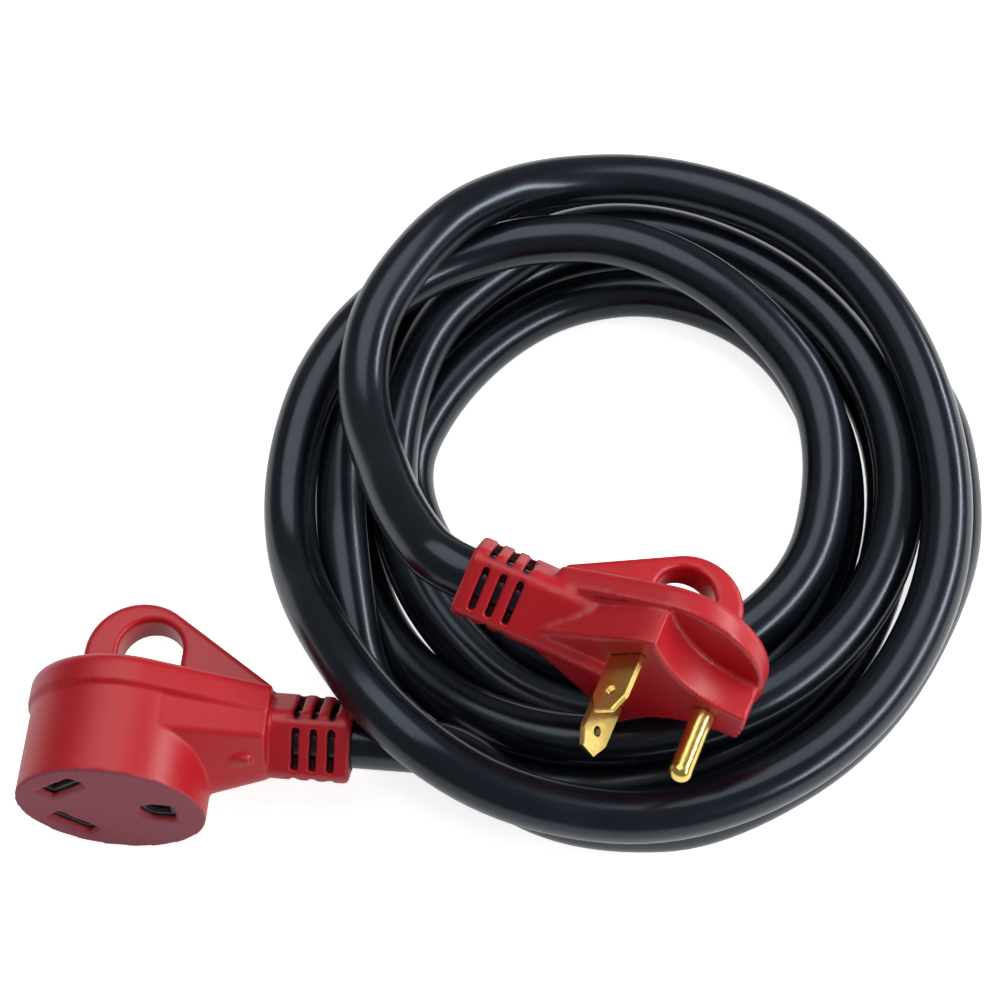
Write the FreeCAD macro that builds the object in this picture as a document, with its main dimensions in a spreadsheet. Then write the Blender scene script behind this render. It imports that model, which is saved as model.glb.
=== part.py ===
import FreeCAD, Part
import math
import os
from FreeCAD import Matrix, Placement, Rotation, Vector

# A 30 amp shore power extension cord: a moulded plug and a moulded connector on the ends of one
# round cable, which lies in a loose coil of six turns. Millimetres, +Z up, the floor at Z = 0.
# Each end is drawn in its own frame: the middle of the prong face is its origin, +X runs out
# along the cable, +Z is the way the prongs point. A placement then lays it on the floor or coil.

doc = FreeCAD.newDocument("shore_power_cord")
sheet = doc.addObject("Spreadsheet::Sheet", "sizes")

SIZES = [
    # cable
    ("cable_diameter", 15.5), ("jacket_wall", 2.2), ("wire_diameter", 4.7), ("copper_diameter", 3.0),
    ("wire_clearance", 0.1), ("wire_spread", 0.2), ("jacket_inside", 4.0), ("bore_clearance", 0.25),
    # prong pattern, the same on plug and connector
    ("blade_along", 12.2), ("blade_across", 12.2), ("ground_along", 13.3),
    ("blade_width", 10.8), ("blade_thick", 1.8), ("blade_length", 18.5), ("blade_chamfer", 2.4),
    ("blade_hole", 3.2), ("blade_hole_setback", 6.5),
    ("pin_diameter", 6.4), ("pin_length", 22.0), ("prong_clearance", 0.05),
    # housings
    ("face_radius", 27.0), ("flange_step", 1.2), ("flange_thick", 9.5), ("back_round", 3.5),
    ("connector_depth", 27.0), ("plug_depth", 12.0), ("plug_ratio", 0.92),
    ("plug_cord_rise", 1.0), ("connector_cord_rise", 0.2), ("face_skin", 2.0), ("back_wall", 2.8),
    ("connector_plate_half", 15.0), ("plug_plate_half", 11.2),
    # neck and strain relief
    ("collar_reach", 42.5), ("relief_length", 23.5), ("relief_side", 20.9), ("relief_corner", 4.2),
    ("neck_root", 13.0), ("neck_root_half", 23.4), ("neck_root_ridge", 16.6), ("neck_root_top", 1.0),
    ("neck_collar_half", 14.7), ("neck_collar_ridge", 20.0), ("neck_collar_top", 12.6),
    ("wedge_reach", 45.0), ("wedge_round", 1.2),
    ("slot_width", 1.9), ("slot_pitch", 5.1), ("slot_long", 13.3), ("slot_through", 17.6), ("slot_deep", 3.0),
    ("slot_end_gap", 5.4), ("slot_count", 3),
    ("bump_along", 35.6), ("bump_side", 8.3), ("bump_long", 6.4), ("bump_wide", 3.0), ("bump_rise", 0.9),
    # pull handle
    ("handle_radius", 16.6), ("handle_offset", 2.0), ("handle_width", 12.0), ("handle_round", 1.7),
    ("handle_hole_radius", 9.3), ("handle_hole_along", 2.5), ("handle_hole_in", 1.8),
    ("connector_handle_rise", 10.2), ("plug_handle_rise", 8.2),
    # finger scallops in the plug's sides
    ("scallop_radius", 31.0), ("scallop_back", 21.5), ("scallop_side", 36.8),
    # inner blocks, contacts and crimps
    ("core_radius", 19.0), ("core_thick", 7.0), ("carrier_radius", 20.5), ("carrier_thick", 15.0),
    ("carrier_back_thick", 3.0), ("seat_clearance", 0.2),
    ("leaf_thick", 0.9), ("leaf_depth", 12.0), ("contact_setback", 1.5),
    ("barrel_length", 7.5), ("barrel_wall", 1.0), ("barrel_shift", 2.2), ("barrel_tuck", 0.84),
    ("strip_length", 6.5), ("core_rim", 0.35), ("pin_shank", 5.4), ("pin_neck", 0.2),
    ("slot_margin", 1.2), ("lead_in", 1.3),
    # coil
    ("layer_gap", 0.7), ("settle_margin", 1.3), ("coil_centre_along", 29.5), ("coil_centre_across", 5.7),
]
for row, (alias, number) in enumerate(SIZES, start=1):
    sheet.set("A%d" % row, alias)
    sheet.set("B%d" % row, str(number))
    sheet.setAlias("B%d" % row, alias)
doc.recompute()


def size(alias):
    return float(getattr(sheet, alias))


def bind(target, **expressions):
    """Ties each named property of an object to the sizes in the sheet."""
    for name, words in expressions.items():
        for alias, _ in sorted(SIZES, key=lambda pair: -len(pair[0])):
            words = words.replace("{" + alias + "}", "sizes." + alias)
        target.setExpression(name.replace("__", "."), words)
    return target


# The frames of the two ends. Rows: where the face's middle is, the cable's way out, the prongs' way.
CABLE_RADIUS = size("cable_diameter") / 2


def frame(origin, cable_way, prong_way):
    x = Vector(*cable_way).normalize()
    z = Vector(*prong_way)
    z = (z - x * z.dot(x)).normalize()
    y = z.cross(x)
    turn = Matrix(x.x, y.x, z.x, origin[0], x.y, y.y, z.y, origin[1], x.z, y.z, z.z, origin[2], 0, 0, 0, 1)
    return Placement(turn)


PLUG_FRAME = frame((43.9, -96.1, 58.8), (-0.915, 0.379, 0.138), (-0.37, -0.925, 0.085))
CONNECTOR_FRAME = frame((-110.0, -117.3, size("face_radius") + size("flange_step")), (0.9965, -0.0837, 0.0),
                        (-0.0837, -0.9965, 0.0))

parts = []


def add_part(label, made, placement=None):
    """Keeps an object as a named sub-part; a plain shape gets a feature of its own."""
    if isinstance(made, Part.Shape):
        feature = doc.addObject("Part::Feature", label)
        feature.Shape = made
        made = feature
    made.Label = label
    if placement is not None:
        made.Placement = placement
    parts.append(made)
    return made


def bound_cylinder(label, radius, height, base, turned=None):
    """A cylinder whose radius and height are read from the sheet."""
    rod = doc.addObject("Part::Cylinder", label)
    bind(rod, Radius=radius, Height=height)
    rod.Placement = Placement(base, turned or Rotation())
    return rod


def cut_out(label, base, cutters):
    """The base with its cutters taken out, as a cut that keeps both as its own objects."""
    tool = doc.addObject("Part::Feature", label + "_cutters")
    tool.Shape = cutters[0].fuse(cutters[1:])
    cut = doc.addObject("Part::Cut", label)
    cut.Base = base
    cut.Tool = tool
    doc.recompute()
    return cut


def outline(corners, radius=0.0):
    """A closed flat wire through corners, each rounded by the radius or by its own third value."""
    points = [Vector(*corner[0]) for corner in corners]
    radii = [corner[1] if len(corner) > 1 else radius for corner in corners]
    starts, ends, arcs = [], [], []
    count = len(points)
    for index in range(count):
        here = points[index]
        before = (points[index - 1] - here).normalize()
        after = (points[(index + 1) % count] - here).normalize()
        half = before.getAngle(after) / 2
        if radii[index] <= 0:
            starts.append(here)
            ends.append(here)
            arcs.append(None)
            continue
        back = radii[index] / math.tan(half)
        centre = here + (before + after).normalize() * (radii[index] / math.sin(half))
        middle = centre + (here - centre).normalize() * radii[index]
        starts.append(here + before * back)
        ends.append(here + after * back)
        arcs.append(middle)
    edges = []
    for index in range(count):
        if arcs[index] is not None:
            edges.append(Part.Arc(starts[index], arcs[index], ends[index]).toShape())
        following = starts[(index + 1) % count]
        if ends[index].distanceToPoint(following) > 1e-6:
            edges.append(Part.LineSegment(ends[index], following).toShape())
    return Part.Wire(edges)


def slab(wire, vector):
    return Part.Face(wire).extrude(vector)


def route(points, label=""):
    """Straight runs joined by tangent arcs, each arc as large as its two runs allow."""
    points = [Vector(*point) for point in points]
    here = points[0]
    edges, radii = [], []
    for before, corner, after in zip(points, points[1:], points[2:]):
        way_in = (corner - before).normalize()
        way_out = (after - corner).normalize()
        half = way_in.getAngle(way_out) / 2
        back = 0.45 * min(before.distanceToPoint(corner), after.distanceToPoint(corner))
        radius = back / math.tan(half)
        radii.append(radius)
        begin = corner - way_in * back
        finish = corner + way_out * back
        centre = corner + (way_out - way_in).normalize() * (radius / math.cos(half))
        middle = centre + (corner - centre).normalize() * radius
        edges.append(Part.LineSegment(here, begin).toShape())
        edges.append(Part.Arc(begin, middle, finish).toShape())
        here = finish
    edges.append(Part.LineSegment(here, points[-1]).toShape())
    if label:
        print(label, "bend radii, mm:", [round(radius, 1) for radius in radii])
    return Part.Wire(edges)


def sweep(path, radius):
    """A solid round tube along a wire, square at its ends."""
    first = path.OrderedEdges[0]
    at = first.valueAt(first.FirstParameter)
    way = first.tangentAt(first.FirstParameter)
    ring = Part.Wire(Part.Circle(at, way, radius).toShape())
    solid = path.makePipeShell([ring], True, False)
    return solid


def hollow(path, outer, inner):
    return sweep(path, outer).cut(sweep(path, inner))


def rounded_diamond(x, centre_z, half_y, half_z, corner):
    """The neck's section: a square on its corner, at a station along the cable."""
    places = [(x, 0, centre_z + half_z), (x, half_y, centre_z), (x, 0, centre_z - half_z), (x, -half_y, centre_z)]
    return outline([(place,) for place in places], corner)


# Housing, shared by both ends: round front, teardrop flange, neck, slotted strain relief, handle

def housing_sizes(end):
    """The sizes of one end's housing; the plug's plan is the smaller by one ratio."""
    ratio = size("plug_ratio") if end == "plug" else 1.0
    depth = size(end + "_depth")
    made = {
        "ratio": ratio,
        "depth": depth,
        "radius": size("face_radius") * ratio,
        "flange": (size("face_radius") + size("flange_step")) * ratio,
        "thick": size("flange_thick") * ratio,
        "cord_z": -(depth - size(end + "_cord_rise")),
        "collar": size("collar_reach") * ratio,
        "plate_half": size(end + "_plate_half"),
        "handle_r": size("handle_radius") * ratio,
        "handle_x": size("handle_offset") * ratio,
        "rise": size(end + "_handle_rise"),
        "hole_r": size("handle_hole_radius") * ratio,
        "hole_x": (size("handle_offset") + size("handle_hole_along")) * ratio,
        "hole_in": size("handle_hole_in") * ratio,
    }
    made["back"] = -(depth + made["thick"])
    made["end"] = made["collar"] + size("relief_length")
    made["half_diagonal"] = size("relief_side") / math.sqrt(2)
    return made


def teardrop(radius, reach, half_width, z):
    """A circle drawn out by two tangent lines to a blunt end at the collar."""
    span = math.hypot(reach, half_width)
    lean = math.atan2(half_width, reach) + math.acos(radius / span)
    touch = Vector(radius * math.cos(lean), radius * math.sin(lean), z)
    mirror = Vector(touch.x, -touch.y, z)
    edges = [
        Part.Arc(touch, Vector(-radius, 0, z), mirror).toShape(),
        Part.LineSegment(mirror, Vector(reach, -half_width, z)).toShape(),
        Part.LineSegment(Vector(reach, -half_width, z), Vector(reach, half_width, z)).toShape(),
        Part.LineSegment(Vector(reach, half_width, z), touch).toShape(),
    ]
    return Part.Wire(edges)


def edges_near(shape, test):
    return [edge for edge in shape.Edges if test(edge)]


def pull_handle(made):
    """A flat ring standing behind the flange, drawn out by a web that runs down to the neck."""
    radius = made["handle_r"]
    centre = Vector(made["handle_x"], 0, made["back"] - made["rise"])
    foot = made["back"] + size("back_round")
    end = Vector(made["collar"] - 1.0, 0, made["cord_z"] - made["half_diagonal"] + size("relief_corner") * 0.4)
    reach = end - centre
    lean = math.atan2(reach.z, reach.x) - math.acos(radius / reach.Length)
    touch = centre + Vector(radius * math.cos(lean), 0, radius * math.sin(lean))
    left = centre + Vector(-radius, 0, 0)
    top = centre + Vector(-radius * math.sin(0.6), 0, -radius * math.cos(0.6))
    corners = [left, touch, end, Vector(end.x, 0, foot), Vector(left.x, 0, foot)]
    edges = [Part.Arc(left, top, touch).toShape()]
    edges += [Part.LineSegment(a, b).toShape() for a, b in zip(corners[1:], corners[2:])]
    edges.append(Part.LineSegment(corners[-1], left).toShape())
    half = size("handle_width") * made["ratio"] / 2
    ring = Part.Face(Part.Wire(edges)).extrude(Vector(0, 2 * half, 0))
    ring.translate(Vector(0, -half, 0))
    hole_radius = made["hole_r"]
    eye = Vector(made["hole_x"], -2 * half, centre.z - made["hole_in"])
    hole = Part.makeCylinder(hole_radius, 4 * half, eye, Vector(0, 1, 0))
    below = Part.makeBox(2 * hole_radius, 4 * half, made["rise"] + 10)
    below.translate(Vector(eye.x - hole_radius, -2 * half, eye.z))
    opening = hole.fuse(below)
    keep = Part.makeBox(200, 100, 100)
    keep.translate(Vector(-100, -50, made["back"]))
    opening = opening.cut(keep)
    ring = ring.cut(opening)
    bar = size("handle_round") * made["ratio"]
    outer_z = made["back"] - 2.0

    def is_rim(edge):
        box = edge.BoundBox
        flat = abs(box.YMax - box.YMin) < 1e-6 and abs(abs(box.YMax) - half) < 1e-6
        return flat and box.ZMin < outer_z and box.XMin < made["collar"] - 2

    return ring.makeFillet(bar, edges_near(ring, is_rim))


def roofed(x, half, ridge_z, top_z, back_z):
    """The neck's section at a station along the cable: upright sides under a low roof."""
    corners = [((x, -half, back_z), 0), ((x, -half, ridge_z), 2.0), ((x, 0, top_z), 6.0),
               ((x, half, ridge_z), 2.0), ((x, half, back_z), 0)]
    return outline(corners)


def neck(end, made):
    """What joins the round front to the strain relief: a roofed neck, or the plug's pointed wedge."""
    ratio = made["ratio"]
    if end == "connector":
        inside = -made["depth"] - 2.0
        return Part.makeLoft([
            roofed(size("neck_root"), size("neck_root_half"), -size("neck_root_ridge"),
                   -size("neck_root_top"), inside),
            roofed(made["collar"], size("neck_collar_half"), -size("neck_collar_ridge"),
                   -size("neck_collar_top"), inside)], True, True)
    radius, tip = made["radius"], size("wedge_reach")
    lean = math.acos(radius / tip)
    touch = (radius * math.cos(lean), radius * math.sin(lean))
    around = [((0, -touch[1] * 0.6, 0), 0), ((touch[0], -touch[1], 0), 0), ((tip, 0, 0), 2.0),
              ((touch[0], touch[1], 0), 0), ((0, touch[1] * 0.6, 0), 0)]
    wedge = slab(outline(around), Vector(0, 0, -made["depth"] - 0.5))
    rim = edges_near(wedge, lambda e: e.BoundBox.ZMin > -1e-6 and e.BoundBox.XMax > touch[0] + 1)
    wedge = wedge.makeFillet(size("wedge_round") * ratio, rim)
    straight_neck = slab(rounded_diamond(size("neck_root"), made["cord_z"], made["half_diagonal"],
                                         made["half_diagonal"], size("relief_corner")),
                         Vector(made["collar"] - size("neck_root"), 0, 0))
    return wedge.fuse(straight_neck)


def relief_slots(end, made):
    """Flexing slots on the strain relief: two flats closed at the corners, two cut through to them."""
    flat_at = size("relief_side") / 2
    closed = (1, 3) if end == "connector" else (0, 2)
    slots = []
    for row in range(int(size("slot_count"))):
        station = made["end"] - size("slot_end_gap") - row * size("slot_pitch")
        for side in range(4):
            long = size("slot_long") if side in closed else size("slot_through")
            cutter = Part.makeBox(size("slot_width"), long, size("slot_deep") + 2)
            cutter.translate(Vector(station - size("slot_width") / 2, -long / 2, flat_at - size("slot_deep")))
            cutter.rotate(Vector(), Vector(1, 0, 0), 45 + 90 * side)
            cutter.translate(Vector(0, 0, made["cord_z"]))
            slots.append(cutter)
    return slots


def oval_bump(made):
    """A small raised oval on the roof of the connector's neck."""
    share = (size("bump_along") - size("neck_root")) / (made["collar"] - size("neck_root"))

    def between(root, collar):
        return size(root) + (size(collar) - size(root)) * share

    half = between("neck_root_half", "neck_collar_half")
    ridge = -between("neck_root_ridge", "neck_collar_ridge")
    top = -between("neck_root_top", "neck_collar_top")
    slope = math.atan2(top - ridge, half)
    rise = size("bump_rise")
    rod = Part.makeCylinder(size("bump_wide") / 2, rise + 2.0, Vector(0, 0, -2.0))
    span = size("bump_long") - size("bump_wide")
    bar = Part.makeBox(span, size("bump_wide"), rise + 2.0, Vector(-span / 2, -size("bump_wide") / 2, -2.0))
    left = rod.copy()
    left.translate(Vector(-span / 2, 0, 0))
    right = rod.copy()
    right.translate(Vector(span / 2, 0, 0))
    bump = bar.fuse([left, right]).removeSplitter()
    rim = edges_near(bump, lambda e: e.BoundBox.ZMin > rise - 1e-6)
    bump = bump.makeFillet(rise * 0.6, rim)
    bump.rotate(Vector(), Vector(1, 0, 0), -math.degrees(slope))
    bump.translate(Vector(size("bump_along"), size("bump_side"), top - size("bump_side") * math.tan(slope)))
    return bump


def housing(end, cavity):
    made = housing_sizes(end)
    front = Part.makeCylinder(made["radius"], made["depth"] + 0.5, Vector(0, 0, -made["depth"] - 0.5))
    # the flange, its back edge well rounded and its front edge just broken
    plate = slab(teardrop(made["flange"], made["collar"], made["plate_half"], -made["depth"]),
                 Vector(0, 0, -made["thick"]))
    back_edges = edges_near(plate, lambda e: e.BoundBox.ZMax < made["back"] + 1e-6
                            and e.BoundBox.XMin < made["collar"] - 1)
    plate = plate.makeFillet(size("back_round"), back_edges)
    lip = edges_near(plate, lambda e: e.BoundBox.ZMin > -made["depth"] - 1e-6
                     and e.BoundBox.XMin < made["collar"] - 1)
    plate = plate.makeFillet(0.8, lip)
    relief = slab(rounded_diamond(made["collar"] - 1.5, made["cord_z"], made["half_diagonal"],
                                  made["half_diagonal"], size("relief_corner")),
                  Vector(size("relief_length") + 1.5, 0, 0))
    mouth = edges_near(relief, lambda e: e.BoundBox.XMin > made["end"] - 1e-6)
    relief = relief.makeFillet(1.5, mouth)
    shell = front.fuse([plate, neck(end, made), relief, pull_handle(made)])
    if end == "connector":
        shell = shell.fuse(oval_bump(made))
    bore = Part.makeCylinder(CABLE_RADIUS + size("bore_clearance"), made["end"] - size("neck_root") + 5.0,
                             Vector(size("neck_root") - 5.0, 0, made["cord_z"]), Vector(1, 0, 0))
    shell = shell.cut(relief_slots(end, made) + [bore, cavity])
    return shell.removeSplitter()


def scallops(grow=0.0):
    """The two finger hollows in the plug's sides, as cutters down to the flange."""
    depth = size("plug_depth")
    return [Part.makeCylinder(size("scallop_radius") + grow, depth + 1 - 0.0,
                              Vector(-size("scallop_back"), side * size("scallop_side"), -depth))
            for side in (-1, 1)]


def plug_room(grow, top, bottom, behind_core=False):
    """The space inside the plug, clear of the scallops, between two depths."""
    pin = size("pin_diameter") / 2
    blade = (size("blade_width") + size("blade_thick")) / 2 * math.sin(math.radians(45))
    along = size("blade_along")
    side = size("blade_across") + blade + size("core_rim")
    half = [(-size("ground_along") - pin - 1.5, pin + 0.4), (-6.0, pin + 1.4), (along - blade - 4.75, side - 4.0),
            (along - blade + 0.25, side), (along + blade - 0.45, side)]
    if behind_core:
        half += [(along + blade + 7.85, side - 5.4), (along + blade + 10.85, side - 8.5)]
    else:
        half += [(along + blade + 3.35, side - 6.0), (along + blade + 5.75, 3.0)]
    around = [(x, -y) for x, y in half] + [(x, y) for x, y in reversed(half)]
    wire = outline([((x, y, top),) for x, y in around])
    if grow:
        wire = wire.makeOffset2D(grow)
    return slab(wire, Vector(0, 0, bottom - top))


PLUG = housing_sizes("plug")
CONNECTOR = housing_sizes("connector")
SKIN = size("face_skin")
CORE_BACK = -(SKIN + size("core_thick"))
PLUG_BARREL_Z = CORE_BACK - size("copper_diameter") / 2 - size("barrel_wall") - 1.6
CARRIER_BACK = -(SKIN + size("carrier_thick"))
COVER_BACK = CARRIER_BACK - size("carrier_back_thick")
CONNECTOR_BARREL_Z = COVER_BACK - size("copper_diameter") / 2 - size("barrel_wall") - 1.8

PLUG_PRONGS = {
    "hot": (size("blade_along"), -size("blade_across"), 45.0),
    "neutral": (size("blade_along"), size("blade_across"), -45.0),
    "ground": (-size("ground_along"), 0.0, 0.0),
}
CONNECTOR_PRONGS = {
    "hot": (-size("blade_along"), -size("blade_across"), -45.0),
    "neutral": (-size("blade_along"), size("blade_across"), 45.0),
    "ground": (size("ground_along"), 0.0, 0.0),
}


def blade_blank(x, y, angle, extra, front, back):
    """A bar of the blade's section at its place in the pattern, grown all round by extra."""
    width = size("blade_width") + 2 * extra
    thick = size("blade_thick") + 2 * extra
    bar = Part.makeBox(width, thick, front - back, Vector(-width / 2, -thick / 2, back))
    bar.rotate(Vector(), Vector(0, 0, 1), angle)
    bar.translate(Vector(x, y, 0))
    return bar


def barrel_seat(x, y):
    """Where the crimp barrel of a prong or contact starts: nearer the middle than its blade."""
    return x - size("barrel_length") / 2 + size("barrel_shift"), y * size("barrel_tuck")


def crimp_barrel(x, y, z):
    """A tube along the cable's way that is crimped round the copper."""
    inner = size("copper_diameter") / 2 + size("wire_clearance")
    outer = inner + size("barrel_wall")
    long = size("barrel_length")
    begin, aside = barrel_seat(x, y)
    start = Vector(begin, aside, z)
    tube = Part.makeCylinder(outer, long, start, Vector(1, 0, 0))
    return tube, Part.makeCylinder(inner, long - 1.0, start + Vector(1.0, 0, 0), Vector(1, 0, 0))


# Plug

def flat_blade(name):
    """A brass blade: chamfered tip, one hole, and a tail that ends in its crimp barrel."""
    x, y, angle = PLUG_PRONGS[name]
    width, thick = size("blade_width"), size("blade_thick")
    long, cut = size("blade_length"), size("blade_chamfer")
    half = width / 2
    corners = [(-half, 0, CORE_BACK - 1.6), (-half, 0, long - 1.8 * cut), (-half + cut, 0, long),
               (half - cut, 0, long), (half, 0, long - 1.8 * cut), (half, 0, CORE_BACK - 1.6)]
    strip = slab(outline([(corner,) for corner in corners]), Vector(0, thick, 0))
    strip.translate(Vector(0, -thick / 2, 0))
    edge_bevel = 0.35
    tip = edges_near(strip, lambda e: e.BoundBox.ZMin > 2 and abs(e.BoundBox.YMax - e.BoundBox.YMin) < 1e-6)
    strip = strip.makeChamfer(edge_bevel, tip)
    eye = Part.makeCylinder(size("blade_hole") / 2, 4 * thick, Vector(0, -2 * thick, long - size("blade_hole_setback")),
                            Vector(0, 1, 0))
    strip = strip.cut(eye)
    strip.rotate(Vector(), Vector(0, 0, 1), angle)
    strip.translate(Vector(x, y, 0))
    tube, inside = crimp_barrel(x, y, PLUG_BARREL_Z)
    return strip.fuse(tube).cut(inside)


def ground_pin():
    """The round ground pin: a rounded tip, a thinner shank held in the core, and a crimp barrel."""
    x, y, _ = PLUG_PRONGS["ground"]
    radius, long = size("pin_diameter") / 2, size("pin_length")
    nose = radius * 0.85
    base = CORE_BACK - 1.6
    neck = size("pin_neck")
    shaft = Part.makeCylinder(radius, long - neck, Vector(x, y, neck))
    end = edges_near(shaft, lambda e: e.BoundBox.ZMin > long - 1e-6)
    shaft = shaft.makeFillet(nose, end)
    shaft = shaft.fuse(Part.makeCylinder(size("pin_shank") / 2, neck + 1.0 - base, Vector(x, y, base)))
    seam = Part.makeBox(2 * radius, 0.35, long, Vector(x, y - 0.175, 2.0))
    shaft = shaft.cut(seam.common(Part.makeBox(radius, 1, 2 * long, Vector(x + radius * 0.75, y - 0.5, 2.0))))
    tube, inside = crimp_barrel(x, y, PLUG_BARREL_Z)
    return shaft.fuse(tube).cut(inside)


ROOM_BACK = PLUG["back"] + size("back_wall")
clear = size("prong_clearance")
plug_cavity = plug_room(size("seat_clearance"), -SKIN, CORE_BACK)
plug_cavity = plug_cavity.fuse(plug_room(size("seat_clearance"), CORE_BACK, ROOM_BACK, True))
openings = [blade_blank(*PLUG_PRONGS[name], clear, 1.0, -SKIN - 1.0) for name in ("hot", "neutral")]
openings.append(Part.makeCylinder(size("pin_shank") / 2 + clear, SKIN + 2.0,
                                  Vector(PLUG_PRONGS["ground"][0], 0, -SKIN - 1.0)))
plug_shell = housing("plug", plug_cavity).cut(scallops() + openings)
add_part("plug_shell", plug_shell, PLUG_FRAME)

core_holes = [blade_blank(*PLUG_PRONGS[name], clear, 0.0, CORE_BACK - 1.0) for name in ("hot", "neutral")]
core_holes.append(Part.makeCylinder(size("pin_shank") / 2 + clear, size("core_thick") + 4,
                                    Vector(PLUG_PRONGS["ground"][0], 0, CORE_BACK - 2)))
cable_passage = Part.makeCylinder(CABLE_RADIUS + 0.8, 40, Vector(22, 0, PLUG["cord_z"]), Vector(1, 0, 0))
core = plug_room(0, -SKIN, CORE_BACK).cut(core_holes + [cable_passage])
add_part("plug_core", core, PLUG_FRAME)
add_part("plug_hot_blade", flat_blade("hot"), PLUG_FRAME)
add_part("plug_neutral_blade", flat_blade("neutral"), PLUG_FRAME)
add_part("plug_ground_pin", ground_pin(), PLUG_FRAME)


# Connector

def slot_opening(name, extra, front, back):
    """The hole that a prong goes through: a slot for a blade, a D for the ground pin."""
    x, y, angle = CONNECTOR_PRONGS[name]
    if name != "ground":
        return blade_blank(x, y, angle, extra, front, back)
    radius = size("pin_diameter") / 2 + extra
    round_part = Part.makeCylinder(radius, front - back, Vector(x, y, back))
    flat_part = Part.makeBox(radius, 2 * radius, front - back, Vector(x, y - radius, back))
    return round_part.fuse(flat_part).removeSplitter()


def funnel(name):
    """The sloped lead-in at the mouth of a slot."""
    wide = slot_opening(name, size("slot_margin") + size("lead_in"), 0.0, -0.01)
    narrow = slot_opening(name, size("slot_margin"), -SKIN + 0.0, -SKIN - 0.01)

    def ring(solid, z):
        face = [f for f in solid.Faces if abs(f.BoundBox.ZMin - z) < 1e-6 and abs(f.BoundBox.ZMax - z) < 1e-6]
        return face[0].OuterWire

    return Part.makeLoft([ring(wide, 0.0), ring(narrow, -SKIN)], True, True)


def female_contact(name):
    """A brass contact: two sprung leaves (or a split sleeve) on a base, with a crimp barrel behind."""
    x, y, angle = CONNECTOR_PRONGS[name]
    leaf = size("leaf_thick")
    mouth = -SKIN - size("contact_setback")
    floor = mouth - size("leaf_depth")
    if name == "ground":
        inner = size("pin_diameter") / 2
        body = Part.makeCylinder(inner + leaf, mouth - floor, Vector(x, y, floor))
        body = body.cut(Part.makeCylinder(inner, mouth - floor - leaf, Vector(x, y, floor + leaf)))
        split = Part.makeBox(40, 1.2, mouth - floor - 3, Vector(x - 20, y - 0.6, floor + 3))
        body = body.cut(split)
        tail = Part.makeCylinder(2.0, floor - COVER_BACK + 2.6, Vector(x, y, COVER_BACK - 2.6))
    else:
        width = size("blade_width") + 0.6
        gap = size("blade_thick")
        outer = Part.makeBox(width, gap + 2 * leaf, mouth - floor, Vector(-width / 2, -gap / 2 - leaf, floor))
        body = outer.cut(Part.makeBox(width + 2, gap, mouth - floor, Vector(-width / 2 - 1, -gap / 2, floor + leaf)))
        tail = Part.makeBox(4.0, 2.0, floor - COVER_BACK + 2.0, Vector(-2.0, -1.0, COVER_BACK - 2.0))
        body = body.fuse(tail)
        body.rotate(Vector(), Vector(0, 0, 1), angle)
        body.translate(Vector(x, y, 0))
        tail = None
    tube, inside = crimp_barrel(x, y, CONNECTOR_BARREL_Z)
    made = body.fuse([tube] if tail is None else [tube, tail])
    return made.cut(inside).removeSplitter()


def contact_pocket(name, grow):
    """The room in the carrier that one contact sits in."""
    x, y, angle = CONNECTOR_PRONGS[name]
    leaf = size("leaf_thick")
    top = -SKIN - size("contact_setback") + grow
    bottom = CARRIER_BACK - 1.0
    if name == "ground":
        return Part.makeCylinder(size("pin_diameter") / 2 + leaf + grow, top - bottom, Vector(x, y, bottom))
    width = size("blade_width") + 0.6 + 2 * grow
    thick = size("blade_thick") + 2 * leaf + 2 * grow
    room = Part.makeBox(width, thick, top - bottom, Vector(-width / 2, -thick / 2, bottom))
    room.rotate(Vector(), Vector(0, 0, 1), angle)
    room.translate(Vector(x, y, 0))
    return room


seat = size("seat_clearance")
room_back = CONNECTOR["back"] + size("back_wall")
cavity = Part.makeCylinder(size("carrier_radius") + seat, -SKIN - room_back, Vector(0, 0, room_back))
mouths = [funnel(name) for name in CONNECTOR_PRONGS]
connector_shell = housing("connector", cavity).cut(mouths)
add_part("connector_shell", connector_shell, CONNECTOR_FRAME)

carrier = bound_cylinder("carrier_block", "{carrier_radius}", "{carrier_thick}", Vector(0, 0, CARRIER_BACK))
carrier = cut_out("contact_carrier", carrier, [contact_pocket(name, seat) for name in CONNECTOR_PRONGS]
                  + [slot_opening(name, 0.4, 1.0, -SKIN - 4.0) for name in CONNECTOR_PRONGS])
add_part("contact_carrier", carrier, CONNECTOR_FRAME)

cover = bound_cylinder("cover_plate", "{carrier_radius}", "{carrier_back_thick}", Vector(0, 0, COVER_BACK))
tails = []
for name, (x, y, angle) in CONNECTOR_PRONGS.items():
    if name == "ground":
        tails.append(Part.makeCylinder(2.0 + seat, 10, Vector(x, y, COVER_BACK - 3)))
    else:
        tail = Part.makeBox(4.0 + 2 * seat, 2.0 + 2 * seat, 10, Vector(-2.0 - seat, -1.0 - seat, COVER_BACK - 3))
        tail.rotate(Vector(), Vector(0, 0, 1), angle)
        tail.translate(Vector(x, y, 0))
        tails.append(tail)
add_part("carrier_cover", cut_out("carrier_cover", cover, tails), CONNECTOR_FRAME)
for name in CONNECTOR_PRONGS:
    add_part("connector_%s_contact" % name, female_contact(name), CONNECTOR_FRAME)


# Wires inside each end: jacket stub, three insulated wires, three stranded coppers

def bundle(angle):
    """Where a wire lies in the cable: three wires in a triangle."""
    reach = size("wire_diameter") / math.sqrt(3) + size("wire_spread")
    return reach * math.sin(math.radians(angle)), reach * math.cos(math.radians(angle))


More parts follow.
